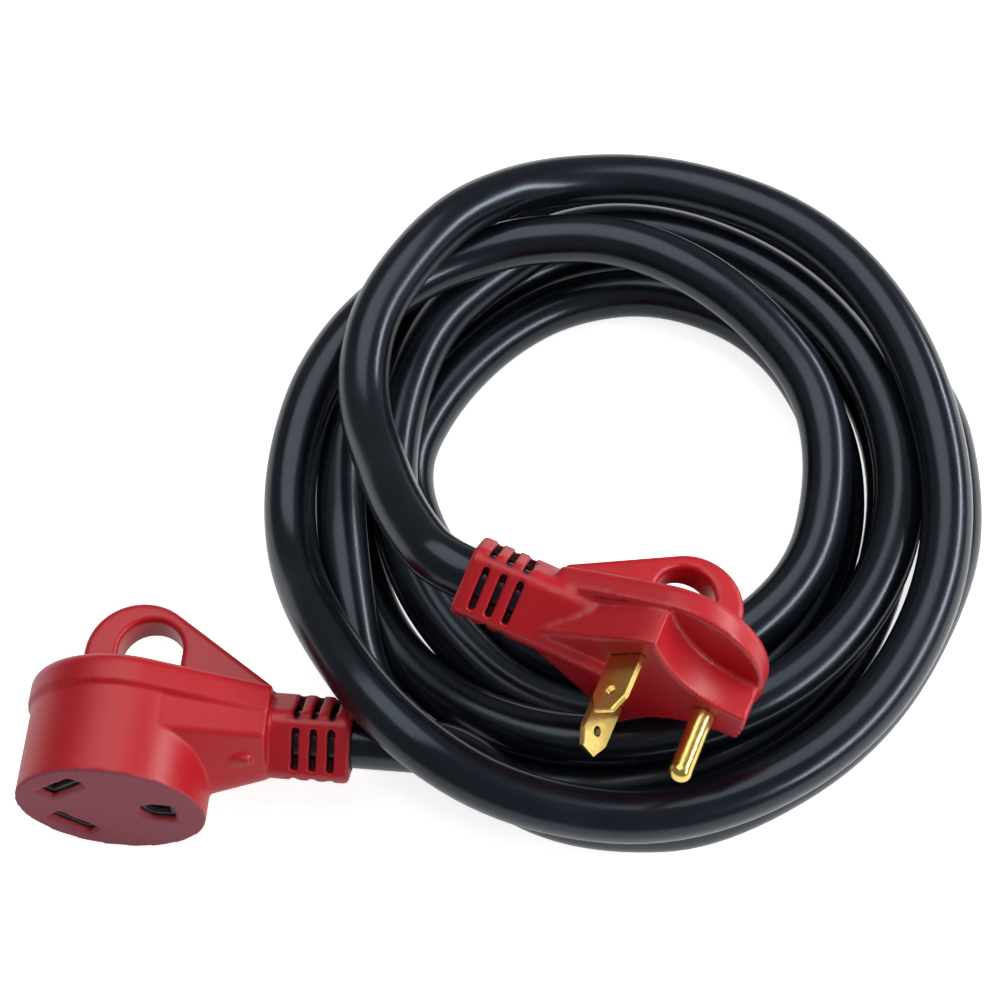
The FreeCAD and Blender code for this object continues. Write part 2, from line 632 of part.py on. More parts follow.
def wire_up(end, made, prongs, barrel_z, angles, placement):
    """The jacket's end in the strain relief, and three wires from it to their crimp barrels."""
    outer = size("wire_diameter") / 2
    copper = size("copper_diameter") / 2
    slack = size("wire_clearance")
    stop = made["end"]
    jacket_start = made["collar"] - size("jacket_inside")
    jacket = bound_cylinder(end + "_jacket", "{cable_diameter} / 2", "{relief_length} + {jacket_inside}",
                            Vector(jacket_start, 0, made["cord_z"]), Rotation(Vector(0, 1, 0), 90))
    wires, coppers, bores = [], [], []
    for name, (x, y, _) in prongs.items():
        off_y, off_z = bundle(angles[name])
        depth = made["cord_z"] + off_z
        begin, aside = barrel_seat(x, y)
        bare = begin + size("barrel_length") + 0.6
        freed = Vector(jacket_start - 1.0, off_y, depth)
        in_jacket = Part.LineSegment(Vector(stop, off_y, depth), freed).toShape()
        bend = route([freed, freed - Vector(8.0, 0, 0), (bare + 4.0, aside, barrel_z), (bare, aside, barrel_z)])
        path = Part.Wire([in_jacket] + bend.OrderedEdges)
        tip = Vector(bare, aside, barrel_z)
        bared = Part.LineSegment(tip, tip - Vector(size("strip_length"), 0, 0)).toShape()
        wires.append(hollow(path, outer, copper + slack))
        coppers.append(sweep(Part.Wire(path.OrderedEdges + [bared]), copper))
        bores.append(Part.makeCylinder(outer + slack, stop - jacket_start + 2,
                                       Vector(jacket_start - 1, off_y, depth), Vector(1, 0, 0)))
    add_part(end + "_jacket_end", cut_out(end + "_jacket_end", jacket, bores), placement)
    for name, shape in zip(prongs, wires):
        add_part("%s_%s_wire" % (end, name), shape, placement)
    for name, shape in zip(prongs, coppers):
        add_part("%s_%s_copper" % (end, name), shape, placement)


wire_up("plug", PLUG, PLUG_PRONGS, PLUG_BARREL_Z, {"ground": 180, "hot": -60, "neutral": 60}, PLUG_FRAME)
wire_up("connector", CONNECTOR, CONNECTOR_PRONGS, CONNECTOR_BARREL_Z,
        {"ground": 0, "hot": -120, "neutral": 120}, CONNECTOR_FRAME)

# Cable: the coil, which starts at the plug, and the free stretch that ends at the connector

LAYER = size("cable_diameter") + size("layer_gap")
CENTRE = Vector(size("coil_centre_along"), size("coil_centre_across"), 0)
# The cable's way round the coil, from the plug's end on top to the outermost turn on the floor,
# clockwise seen from above: compass direction in degrees, reach from the middle, layer.
WAY_ROUND = [
    (180, 70.5, 2.2), (125, 83, 2.05), (45, 97.5, 2), (-35, 119, 1.3), (-90, 121, 1.5), (-116, 121, 2.7),
    (-142, 105, 2.1), (-185, 95, 0), (-228, 83, 1.4), (-300, 65, 1.9), (-370, 71.5, 1), (-425, 80, 0.7),
    (-485, 62.8, 0), (-545, 57.5, 0), (-605, 60, 0), (-677, 81, 0), (-750, 81, 0), (-815, 89, 0),
    (-880, 66, 0.9), (-935, 67.5, 1), (-1010, 88, 0.8), (-1085, 93, 0.8), (-1150, 94, 0.7), (-1215, 89, 0.3),
    (-1262, 76.5, 0), (-1303, 71.5, 0), (-1357, 87, 0), (-1400, 94, 0), (-1480, 101, 0), (-1530, 106, 0),
    (-1575, 102, 0.3), (-1622, 77, 1), (-1662, 87, 0), (-1740, 106, 0), (-1825, 114, 0), (-1870, 122, 0),
]
# Both ends of the coil run straight into what they meet.
plug_exit = PLUG_FRAME.multVec(Vector(PLUG["end"], 0, PLUG["cord_z"]))
plug_way = PLUG_FRAME.Rotation.multVec(Vector(1, 0, 0))
connector_exit = CONNECTOR_FRAME.multVec(Vector(CONNECTOR["end"], 0, CONNECTOR["cord_z"]))
connector_way = CONNECTOR_FRAME.Rotation.multVec(Vector(1, 0, 0))
straight = size("cable_diameter")
top_start = plug_exit + plug_way * straight
last_way = Vector(-1.0, -0.16, 0.0).normalize()


def on_floor(direction, reach, layer):
    angle = math.radians(direction)
    return CENTRE + Vector(reach * math.cos(angle), reach * math.sin(angle), CABLE_RADIUS + layer * LAYER)


def legs(places):
    """Directions of the cable at its stations: square to the plug at the start, chords between."""
    ways = [plug_way]
    for before, here, after in zip(places, places[1:], places[2:]):
        chord = after - before
        if here.z < CABLE_RADIUS + 0.15 * LAYER:
            chord.z = 0
        ways.append(chord.normalize())
    ways.append(last_way)
    return ways


def knees(start, way_in, finish, way_out):
    """The corners of the two tangent arcs between two stations, and the point where they join."""
    across = finish - start
    along = across.dot(way_in + way_out)
    spread = 2 * (1 - way_in.dot(way_out))
    if spread < 1e-9:
        reach = across.Length / 2
    else:
        reach = (math.sqrt(along * along + spread * across.dot(across)) - along) / spread
    first = start + way_in * reach
    second = finish - way_out * reach
    return first, (first + second) * 0.5, second


def arc_points(begin, knee, end, count):
    """Points spaced evenly along the arc that touches both legs of a knee, its end left out."""
    middle = (begin + end) * 0.5
    rise = knee - middle
    half_chord = begin.distanceToPoint(end) / 2
    lean = math.atan2(rise.Length, half_chord)
    if lean < 1e-4:
        return [begin + (end - begin) * (step / count) for step in range(count)]
    radius = half_chord / math.sin(lean)
    up = rise.normalize()
    flat = (end - begin).normalize()
    hub = middle - up * (radius * math.cos(lean))
    turns = [lean * (2 * step / count - 1) for step in range(count)]
    return [hub + up * (radius * math.cos(turn)) + flat * (radius * math.sin(turn)) for turn in turns]


def along_the_cable(places, count):
    points = []
    ways = legs(places)
    for start, way_in, finish, way_out in zip(places, ways, places[1:], ways[1:]):
        first, joint, second = knees(start, way_in, finish, way_out)
        points += arc_points(start, first, joint, count) + arc_points(joint, second, finish, count)
    return points + [places[-1]]


def settle(way_round, rounds=260, count=6):
    """Lets the turns push each other apart, up or sideways, until none lies inside another."""
    start = [list(row) for row in way_round]
    rows = [list(row) for row in way_round]
    need = size("cable_diameter") + size("layer_gap") + size("settle_margin")
    span = 2 * count
    skip = int(2 * need)
    lift = None
    close = []
    for turn in range(rounds):
        points = along_the_cable([top_start] + [on_floor(*row) for row in rows], count)
        if lift is None:
            lift = [(point.z - CABLE_RADIUS) / LAYER for point in points]
        if turn % 20 == 0:
            close = [(i, j) for i in range(skip, len(points)) for j in range(0, i - skip // 2)
                     if points[i].distanceToPoint(points[j]) < need + 9]
        up = [0.0] * len(rows)
        out = [0.0] * len(rows)
        weight = [1.0] * len(rows)
        for i, j in close:
            lack = need - points[i].distanceToPoint(points[j])
            if lack <= 0:
                continue
            order = lift[i] - lift[j]
            height = points[i].z - points[j].z
            reach = math.hypot(points[i].x - CENTRE.x, points[i].y - CENTRE.y)
            reach -= math.hypot(points[j].x - CENTRE.x, points[j].y - CENTRE.y)
            sideways = math.copysign(0.25 if abs(order) > 0.45 else 1.0, reach)
            upright = math.copysign(1.0, order) if abs(order) > 0.45 else 0.3 * (height > 0.5) - 0.3 * (height < -0.5)
            for point, sign in ((i, 1.0), (j, -1.0)):
                place = min(point // span, len(rows) - 1)
                share = point / span - place
                for row, part_of in ((place - 1, 1 - share), (place, share)):
                    if row >= 0:
                        up[row] += sign * upright * part_of * lack
                        out[row] += sign * sideways * part_of * lack
                        weight[row] += part_of
        for row, first, rise, spread, total in zip(rows, start, up, out, weight):
            row[1] += 0.35 * spread / total + 0.008 * (first[1] - row[1])
            row[2] += 0.35 * rise / total / LAYER + 0.008 * (first[2] - row[2])
            row[2] = max(row[2], 0.0)
    return rows


places = [top_start] + [on_floor(*row) for row in settle(WAY_ROUND)]
ways = legs(places)
coil_end = places[-1] + last_way * straight
coil_edges = [Part.LineSegment(plug_exit, top_start).toShape()]
bends = []
for start, way_in, finish, way_out in zip(places, ways, places[1:], ways[1:]):
    first, joint, second = knees(start, way_in, finish, way_out)
    for begin, knee, end in ((start, first, joint), (joint, second, finish)):
        arc = Part.Arc(begin, arc_points(begin, knee, end, 2)[1], end).toShape()
        bends.append(arc.Curve.Radius)
        coil_edges.append(arc)
coil_edges.append(Part.LineSegment(places[-1], coil_end).toShape())
coil_path = Part.Wire(coil_edges)
coil = sweep(coil_path, CABLE_RADIUS)


def least_gap(path, spacing, diameter):
    """The smallest clear gap between a tube and itself, measured on points along its middle."""
    points = path.discretize(Number=int(path.Length / spacing))
    skip = int(2 * diameter / spacing)
    return min(points[i].distanceToPoint(points[j]) - diameter
               for i in range(len(points)) for j in range(i + skip, len(points)))


def volume_ratio(solid, length):
    return round(solid.Volume / (math.pi * CABLE_RADIUS ** 2 * length), 5)


print("coil: length %.0f, least gap to itself %.2f, tightest bend %.1f, volume ratio %s" % (
    coil_path.Length, least_gap(coil_path, 4.0, size("cable_diameter")), min(bends),
    volume_ratio(coil, coil_path.Length)))
add_part("cable_coil", coil)

level_run = connector_exit + connector_way * 30.0
half_down = Vector(8.0, -115.0, 19.5)
floor_run = coil_end + last_way * 26.0
lead_path = route([connector_exit, level_run, half_down, floor_run, coil_end], "connector lead")
lead = sweep(lead_path, CABLE_RADIUS)
print("lead: length %.0f, volume ratio %s" % (lead_path.Length, volume_ratio(lead, lead_path.Length)))
add_part("cable_connector_lead", lead)
print("plug exit", plug_exit, "connector exit", connector_exit, "coil end", coil_end)

# The row's origin is the middle of the underside of the two ends.
points = [point for item in parts if not item.Label.startswith("cable_")
          for point in item.Shape.tessellate(0.05)[0]]
middle = [(min(axis) + max(axis)) / 2 for axis in zip(*points)]
shift = Placement(Vector(-middle[0], -middle[1], 0), Rotation())
print("layout moved by x %.3f y %.3f, lowest point %.3f" % (-middle[0], -middle[1], min(p.z for p in points)))
for item in parts:
    item.Placement = shift.multiply(item.Placement)

# Check and write out
doc.recompute()
for item in doc.Objects:
    if "Invalid" in item.State or "Error" in item.State:
        raise RuntimeError("object in error: " + item.Label)
for item in parts:
    if item.Shape.isNull() or not item.Shape.isValid():
        raise RuntimeError("bad shape: " + item.Label)
    print("%-26s solids %d volume %.1f" % (item.Label, len(item.Shape.Solids), item.Shape.Volume))
os.makedirs("parts", exist_ok=True)
for item in parts:
    item.Shape.exportStep("parts/%s.step" % item.Label)
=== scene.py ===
import math

import bmesh
import bpy
import numpy
from mathutils import Matrix, Vector


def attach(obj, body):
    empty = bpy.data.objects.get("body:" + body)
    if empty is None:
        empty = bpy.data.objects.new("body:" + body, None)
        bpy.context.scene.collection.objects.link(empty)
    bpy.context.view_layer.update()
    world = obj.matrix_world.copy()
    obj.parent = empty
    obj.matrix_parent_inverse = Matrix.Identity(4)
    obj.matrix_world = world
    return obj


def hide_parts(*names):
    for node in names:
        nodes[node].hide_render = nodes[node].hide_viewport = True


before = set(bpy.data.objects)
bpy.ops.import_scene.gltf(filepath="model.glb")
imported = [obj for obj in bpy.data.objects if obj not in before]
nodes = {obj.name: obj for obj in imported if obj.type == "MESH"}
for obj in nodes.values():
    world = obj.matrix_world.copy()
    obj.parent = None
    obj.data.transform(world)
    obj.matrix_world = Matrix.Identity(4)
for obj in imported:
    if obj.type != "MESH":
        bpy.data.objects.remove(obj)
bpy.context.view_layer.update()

# Copper strands. Three stranded conductors run into the crimp barrels at both ends.
# They are bare drawn copper, a little darker between the strands.


def new_material(name):
    """A material, its node tree and shader, and a short way to add nodes.

    An input called _0, _1 and so on is taken by its place on the node, any other by its name.
    """
    material = bpy.data.materials.new(name)
    material.use_nodes = True
    tree = material.node_tree
    shader = tree.nodes["Principled BSDF"]

    def add(kind, settings=None, **inputs):
        made = tree.nodes.new(kind)
        for key, value in (settings or {}).items():
            setattr(made, key, value)
        for key, value in inputs.items():
            numbered = key[0] == "_" and key[1:].isdigit()
            socket = made.inputs[int(key[1:])] if numbered else made.inputs[key]
            if isinstance(value, bpy.types.NodeSocket):
                tree.links.new(value, socket)
            else:
                socket.default_value = value
        return made

    return material, tree, shader, add


def colour_ramp(add, factor, stops):
    """A ramp from a grey value to colours, each stop a place and a linear colour."""
    ramp = add("ShaderNodeValToRGB", Fac=factor)
    while len(ramp.color_ramp.elements) < len(stops):
        ramp.color_ramp.elements.new(0.5)
    for element, (place, colour) in zip(ramp.color_ramp.elements, stops):
        element.position = place
        element.color = (*colour, 1.0)
    return ramp.outputs["Color"]


def dress(names, material):
    """Gives CAD nodes a material in place of their plain one."""
    for name in names:
        for place in nodes[name].material_slots:
            place.material = material


copper, tree, shader, add = new_material("drawn_copper")
place = add("ShaderNodeTexCoord").outputs["Object"]
strands = add("ShaderNodeTexNoise", Vector=place, Scale=900.0, Detail=3.0)
strand_colour = colour_ramp(add, strands.outputs["Fac"], [(0.3, (0.42, 0.16, 0.08)),
                                                          (0.7, (0.83, 0.42, 0.25))])
tree.links.new(strand_colour, shader.inputs["Base Color"])
shader.inputs["Metallic"].default_value = 1.0
shader.inputs["Roughness"].default_value = 0.32
dress([end + "_" + wire + "_copper" for end in ("plug", "connector")
       for wire in ("hot", "neutral", "ground")], copper)

# Insulation of the three wires: black, white and green vinyl, extruded over the copper.
# It shows nowhere outside, and is finished with the fine streaks that extrusion leaves.
for wire, colour, dark, light in (("hot", "black", (0.010, 0.010, 0.011), (0.030, 0.030, 0.032)),
                                  ("neutral", "white", (0.62, 0.62, 0.58), (0.80, 0.80, 0.77)),
                                  ("ground", "green", (0.012, 0.16, 0.04), (0.03, 0.30, 0.08))):
    vinyl, tree, shader, add = new_material(colour + "_vinyl")
    place = add("ShaderNodeTexCoord").outputs["Object"]
    streak = add("ShaderNodeTexNoise", Vector=place, Scale=260.0, Detail=2.0)
    tree.links.new(colour_ramp(add, streak.outputs["Fac"], [(0.35, dark), (0.65, light)]),
                   shader.inputs["Base Color"])
    shader.inputs["Roughness"].default_value = 0.45
    dress([end + "_" + wire + "_wire" for end in ("plug", "connector")], vinyl)

# Inner blocks: the plug's core and the connector's contact carrier with its cover plate.
# They are moulded in a hard dark grey nylon, which shows inside the connector's slots.
nylon, tree, shader, add = new_material("dark_nylon")
place = add("ShaderNodeTexCoord").outputs["Object"]
cloud = add("ShaderNodeTexNoise", Vector=place, Scale=180.0, Detail=4.0)
nylon_colour = colour_ramp(add, cloud.outputs["Fac"], [(0.3, (0.030, 0.034, 0.040)),
                                                       (0.7, (0.075, 0.083, 0.092))])
tree.links.new(nylon_colour, shader.inputs["Base Color"])
grain = add("ShaderNodeTexNoise", Vector=place, Scale=2600.0, Detail=2.0)
bump = add("ShaderNodeBump", Height=grain.outputs["Fac"], Strength=0.25, Distance=0.0002)
tree.links.new(bump.outputs["Normal"], shader.inputs["Normal"])
shader.inputs["Roughness"].default_value = 0.55
dress(["plug_core", "contact_carrier", "carrier_cover"], nylon)

# Brass: the plug's two flat blades and its round pin, and the connector's sprung contacts.
# Stamped and formed from strip, with fine rolling lines and a patchy tarnish.
brass, tree, shader, add = new_material("stamped_brass")
place = add("ShaderNodeTexCoord").outputs["Object"]
tarnish = add("ShaderNodeTexNoise", Vector=place, Scale=60.0, Detail=4.0, Roughness=0.6)
brass_colour = colour_ramp(add, tarnish.outputs["Fac"], [(0.28, (0.62, 0.42, 0.11)),
                                                         (0.50, (0.80, 0.58, 0.16)),
                                                         (0.75, (0.88, 0.68, 0.24))])
tree.links.new(brass_colour, shader.inputs["Base Color"])
drawn_out = add("ShaderNodeMapping", Vector=place, Scale=(900.0, 900.0, 90.0))
rolling = add("ShaderNodeTexNoise", Vector=drawn_out.outputs["Vector"], Scale=1.0)
worn = add("ShaderNodeMapRange", Value=rolling.outputs["Fac"], _1=0.3, _2=0.7, _3=0.18, _4=0.27)
tree.links.new(worn.outputs["Result"], shader.inputs["Roughness"])
dent = add("ShaderNodeBump", Height=rolling.outputs["Fac"], Strength=0.04, Distance=0.0001)
tree.links.new(dent.outputs["Normal"], shader.inputs["Normal"])
shader.inputs["Metallic"].default_value = 1.0
dress(["plug_hot_blade", "plug_neutral_blade", "plug_ground_pin", "connector_hot_contact",
       "connector_neutral_contact", "connector_ground_contact"], brass)

# Housings of the two ends. Each is one moulding of soft red vinyl over the inner blocks, with its
# pull handle, neck and slotted strain relief; every edge leaves the mould slightly rounded.


def rounded_copy(node, name, voxel, rounds, soft_places):
    """A copy of a housing with its edges melted as a mould leaves them, and its blends softened.

    Each row of soft_places is a middle, a reach round it, and more rounds of smoothing there.
    """
    piece = bpy.data.objects.new(name, nodes[node].data.copy())
    bpy.context.scene.collection.objects.link(piece)
    shape = bmesh.new()
    shape.from_mesh(piece.data)
    bmesh.ops.remove_doubles(shape, verts=shape.verts, dist=1e-6)
    shape.to_mesh(piece.data)
    shape.free()
    remesh = piece.modifiers.new("melt", "REMESH")
    remesh.mode = "VOXEL"
    remesh.voxel_size = voxel
    evaluated = piece.evaluated_get(bpy.context.evaluated_depsgraph_get())
    melted = bpy.data.meshes.new_from_object(evaluated)
    piece.modifiers.clear()
    piece.data = melted
    shape = bmesh.new()
    shape.from_mesh(melted)
    for _ in range(rounds):
        bmesh.ops.smooth_vert(shape, verts=shape.verts, factor=0.5, use_axis_x=True, use_axis_y=True,
                              use_axis_z=True)
    for middle, reach, more in soft_places:
        near = [vert for vert in shape.verts if (vert.co - middle).length < reach]
        for _ in range(more):
            bmesh.ops.smooth_vert(shape, verts=near, factor=0.5, use_axis_x=True, use_axis_y=True,
                                  use_axis_z=True)
    for face in shape.faces:
        face.smooth = True
    shape.to_mesh(melted)
    shape.free()
    melted.materials.clear()
    return piece


# Where the cable leaves each end, the way it runs out, and the way the prongs or sockets point.
plug_exit = Vector((0.021832, 0.024037, 0.066504))
plug_way = Vector((-0.915, 0.379, 0.138)).normalized()
plug_side = Vector((-0.370316, -0.925004, 0.085051)).normalized()
connector_exit = Vector((-0.010848, -0.009883, 0.0282))
connector_way = Vector((0.9965, -0.0837, 0.0)).normalized()
connector_side = Vector((-0.0837, -0.9965, 0.0)).normalized()
connector_face = Vector((-0.07886, -0.031065, 0.0282))


def mark_places(piece, outlet, way, side):
    """Marks a housing's slots and sockets and the connector's flat face, where the material paints shade."""
    relief_front, relief_back = 0.003, 0.0185
    slot_top = 0.0097
    slot_fade = 0.0009
    socket_reach = 0.022
    socket_top = -0.0005
    socket_fade = 0.0016
    face_top = 0.0007
    face_fade = 0.0003
    up = way.cross(side)
    deep = []
    flat = []
    for vert in piece.data.vertices:
        offset = vert.co - outlet
        off_axis = max(abs(offset.dot(side + up)), abs(offset.dot(side - up))) / math.sqrt(2.0)
        from_face = vert.co - connector_face
        above = from_face.dot(connector_side)
        if relief_front < -offset.dot(way) < relief_back:
            deep.append(min(max((slot_top - off_axis) / slot_fade, 0.0), 1.0))
        elif from_face.length < socket_reach and above < socket_top:
            deep.append(min((socket_top - above) / socket_fade, 0.85))
        else:
            deep.append(0.0)
        flat.append(min(max((face_top - abs(above)) / face_fade, 0.0), 1.0))
    piece.data.attributes.new("deep_place", "FLOAT", "POINT").data.foreach_set("value", deep)
    piece.data.attributes.new("flat_face", "FLOAT", "POINT").data.foreach_set("value", flat)



red, tree, shader, add = new_material("soft_red_vinyl")
place = add("ShaderNodeTexCoord").outputs["Object"]
cloud = add("ShaderNodeTexNoise", Vector=place, Scale=22.0, Detail=4.0, Roughness=0.6)
skin_colour = colour_ramp(add, cloud.outputs["Fac"], [(0.30, (0.430, 0.003, 0.010)),
                                                      (0.55, (0.490, 0.005, 0.013)),
                                                      (0.80, (0.540, 0.010, 0.018))])
# The connector's flat face is painted darker and greyer: painted shade, with a painted sheen of the white
# floor.
face_shade_colour = (0.30, 0.045, 0.075, 1.0)
# The strain relief slots and the connector's sockets are painted near-black: painted shade in the recesses.
recess_shade_colour = (0.020, 0.001, 0.002, 1.0)
on_face = add("ShaderNodeAttribute", {"attribute_name": "flat_face"}).outputs["Fac"]
in_slot = add("ShaderNodeAttribute", {"attribute_name": "deep_place"}).outputs["Fac"]
face_shade_mix = add("ShaderNodeMix", {"data_type": "RGBA"}, _0=on_face, _6=skin_colour, _7=face_shade_colour)
shaded = add("ShaderNodeMix", {"data_type": "RGBA"}, _0=in_slot, _6=face_shade_mix.outputs[2], _7=recess_shade_colour)
tree.links.new(shaded.outputs[2], shader.inputs["Base Color"])
skin = add("ShaderNodeTexNoise", Vector=place, Scale=1400.0, Detail=3.0, Roughness=0.55)
ripple = add("ShaderNodeTexNoise", Vector=place, Scale=150.0, Detail=2.0)
height = add("ShaderNodeMath", {"operation": "MULTIPLY_ADD"}, _0=ripple.outputs["Fac"], _1=1.5,
             _2=skin.outputs["Fac"])
bump = add("ShaderNodeBump", Height=height.outputs["Value"], Strength=0.22, Distance=0.0002)
tree.links.new(bump.outputs["Normal"], shader.inputs["Normal"])
gloss = add("ShaderNodeMapRange", Value=cloud.outputs["Fac"], _1=0.3, _2=0.7, _3=0.34, _4=0.44)
rougher = add("ShaderNodeMath", {"operation": "MAXIMUM"}, _0=on_face, _1=in_slot)
rough = add("ShaderNodeMath", {"operation": "MULTIPLY_ADD"}, _0=rougher.outputs["Value"], _1=0.3,
            _2=gloss.outputs["Result"])
tree.links.new(rough.outputs["Value"], shader.inputs["Roughness"])

# The plug's wedge runs out softly toward the neck. Rows: middle, reach, rounds of smoothing.
soft_blends = [(Vector((0.0435, 0.0047, 0.0696)), 0.010, 10), (Vector((0.0540, 0.0010, 0.0742)), 0.008, 8),
               (Vector((0.0483, 0.0218, 0.0737)), 0.009, 14), (Vector((0.0557, 0.0110, 0.0750)), 0.008, 8)]
melt_size = 0.0006
melt_rounds = 2
for node, name, outlet, way, side in (
        ("plug_shell", "plug_housing", plug_exit, plug_way, plug_side),
        ("connector_shell", "connector_housing", connector_exit, connector_way, connector_side)):
    housing = rounded_copy(node, name, melt_size, melt_rounds, soft_blends)
    mark_places(housing, outlet, way, side)
    housing.data.materials.append(red)
    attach(housing, "root")
    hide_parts(node)

# Cable. Three 10 gauge wires in a round black rubber-like jacket, 15.5 mm across, extruded in one
# length. It leaves the plug on top of the coil, lies in six loose turns and rises to the connector.
cable_diameter = 0.0155
layer = 0.0162
# A spline of this order runs a little inside its points, so they lie this much further out.
reach_outward = 1.022
coil_middle = Vector((0.06064, 0.09193, 0.0))
# Compass direction in degrees, reach from the coil's middle in millimetres, layer above the floor.
way_round = [
    (227, 75, 3.5), (214, 70.5, 3.2), (201, 67.5, 2.9), (186, 68.5, 2.6), (171, 70.5, 2.6),
    (155, 72.5, 2.8), (135, 73.5, 2.9), (118, 78, 2.65), (98, 86, 2.2), (73, 92.5, 2.0), (45, 98, 2.0),
    (19, 100.5, 1.8), (-8, 106, 1.5), (-31, 114, 1.35), (-55, 121.5, 1.15), (-80, 126, 1.2),
    (-101, 124.5, 1.7), (-118, 121, 2.6), (-137, 107, 2.1), (-154, 98.5, 1.2), (-170, 91.5, 1.3),
    (-186, 86.5, 1.65), (-199, 82, 1.85), (-211, 78, 1.95), (-225, 74.5, 2.0), (-239, 71, 2.0),
    (-253, 68.5, 2.0), (-275, 66, 2.0), (-299, 62.5, 2.0), (-323, 65, 1.6), (-346, 70.5, 1.15),
    (-370, 71.5, 1.0), (-397, 77, 0.9), (-428, 79, 0.7), (-460, 71, 0), (-484, 60, 0), (-510, 58, 0),
    (-540, 59.5, 0), (-570, 56.5, 0), (-600, 59, 0), (-625, 65, 0), (-650, 73, 0), (-677, 79, 0),
    (-706, 77, 0), (-735, 78.5, 0), (-765, 84, 0), (-795, 89, 0), (-825, 85, 0.1), (-855, 74, 0.5),
    (-885, 66, 0.95), (-912, 63.5, 1.0), (-940, 66, 1.0), (-962, 71, 0.9), (-985, 82.5, 0.9),
    (-1010, 86.5, 0.9), (-1040, 89, 0.9), (-1070, 92.5, 0.9), (-1100, 96.5, 0.95), (-1130, 99, 0.9),
    (-1160, 99.5, 0.8), (-1185, 98, 0.6), (-1212, 88, 0.1), (-1240, 80, 0), (-1265, 75, 0),
    (-1295, 70, 0), (-1325, 75.5, 0), (-1350, 85, 0), (-1375, 91, 0), (-1405, 93, 0), (-1440, 95.5, 0),
    (-1480, 101, 0), (-1512, 107, 0), (-1540, 110, 0), (-1568, 106, 0.3), (-1592, 85, 0.95),
    (-1614, 77.5, 1.0), (-1636, 76.5, 0.95), (-1655, 79.5, 0.75), (-1672, 89, 0.35), (-1692, 102, 0),
    (-1720, 105, 0), (-1750, 107, 0), (-1785, 110.5, 0), (-1803, 112, 0), (-1820, 113.5, 0),
    (-1848, 117.5, 0), (-1874, 120.5, 0),
]


def on_coil(direction, reach, level):
    """A point of the cable's way, from its row in way_round."""
    turn = math.radians(direction)
    side = Vector((math.cos(turn), math.sin(turn), 0.0)) * (reach * 0.001 * reach_outward)
    return coil_middle + side + Vector((0.0, 0.0, cable_diameter / 2 + level * layer))


def settle(points, held_start, held_end, rounds):
    """Lets the turns push each other apart as they lie, up where one is on top, else sideways."""
    steps = 4  # places looked at on each stretch between points
    own_places = 14  # nearer places than this along the cable never push each other
    need = cable_diameter + 0.0004
    stack_height = 0.4 * layer  # turns further apart than this in height lie on each other
    rise_of_neighbours = 0.3
    slip_of_stacked = 0.25
    stiffness = 0.6
    pace = 0.5
    pull_back = 0.006
    control = numpy.array([list(point) for point in points])
    count = len(control)
    weights = numpy.zeros(((count - 2) * steps, count))
    for span in range(count - 2):
        for step in range(steps):
            t = step / steps
            weights[span * steps + step, span:span + 3] = ((1 - t) ** 2 / 2, (1 + 2 * t - 2 * t * t) / 2,
                                                           t * t / 2)
    start = control.copy()
    laid = weights @ control
    order = laid[:, 2][:, None] - laid[:, 2][None, :]
    stacked = numpy.abs(order) > stack_height
    along = numpy.arange(len(laid))
    apart = numpy.abs(numpy.subtract.outer(along, along)) > own_places
    middle = numpy.array(coil_middle)
    free = numpy.ones(count)
    free[:held_start] = 0.0
    free[count - held_end:] = 0.0
    for _ in range(rounds):
        line = weights @ control
        gap = line[:, None, :] - line[None, :, :]
        distance = numpy.linalg.norm(gap, axis=2)
        lack = numpy.where(apart, numpy.maximum(need - distance, 0.0), 0.0)
        reach = numpy.hypot(line[:, 0] - middle[0], line[:, 1] - middle[1])
        outward = (line[:, :2] - middle[:2]) / reach[:, None]
        further = numpy.sign(reach[:, None] - reach[None, :])
        above = numpy.where(stacked, numpy.sign(order), rise_of_neighbours * numpy.sign(gap[:, :, 2]))
        sideways = numpy.where(stacked, slip_of_stacked, 1.0) * further
        push_up = (lack * above).sum(axis=1)
        push_out = (lack * sideways).sum(axis=1)
        touched = (lack > 0).sum(axis=1)
        share = numpy.maximum(touched, 1)
        move = numpy.zeros_like(line)
        move[:, :2] = outward * (push_out / share)[:, None]
        move[:, 2] = push_up / share
        total = (weights * (touched > 0)[:, None]).sum(axis=0) + stiffness
        pushed = pace * (weights.T @ move) / total[:, None]
        control += (pushed + pull_back * (start - control)) * free[:, None]
        control[:, 2] = numpy.maximum(control[:, 2], cable_diameter / 2)
    return [Vector(row) for row in control]


# The cable runs straight out of the plug, and off the coil up to the connector that lies on its side.
start_points = [plug_exit, plug_exit + plug_way * 0.008]
end_points = [Vector((0.06224, -0.0290, 0.00775)), Vector((0.0380, -0.0255, 0.0185)),
              Vector((0.0190, -0.0124, 0.0282)), connector_exit + connector_way * 0.014, connector_exit]
points = start_points + [on_coil(*row) for row in way_round] + end_points
points = settle(points, held_start=2, held_end=4, rounds=400)

cable_curve = bpy.data.curves.new("cable", "CURVE")
cable_curve.dimensions = "3D"
cable_curve.bevel_depth = cable_diameter / 2
cable_curve.bevel_resolution = 8
cable_curve.resolution_u = 10
cable_curve.use_fill_caps = True
spline = cable_curve.splines.new("NURBS")
spline.points.add(len(points) - 1)
for knot, point in zip(spline.points, points):
    knot.co = (*point, 1.0)
spline.order_u = 3
spline.use_endpoint_u = True
spline.use_smooth = True
cable = bpy.data.objects.new("cable", cable_curve)
bpy.context.scene.collection.objects.link(cable)

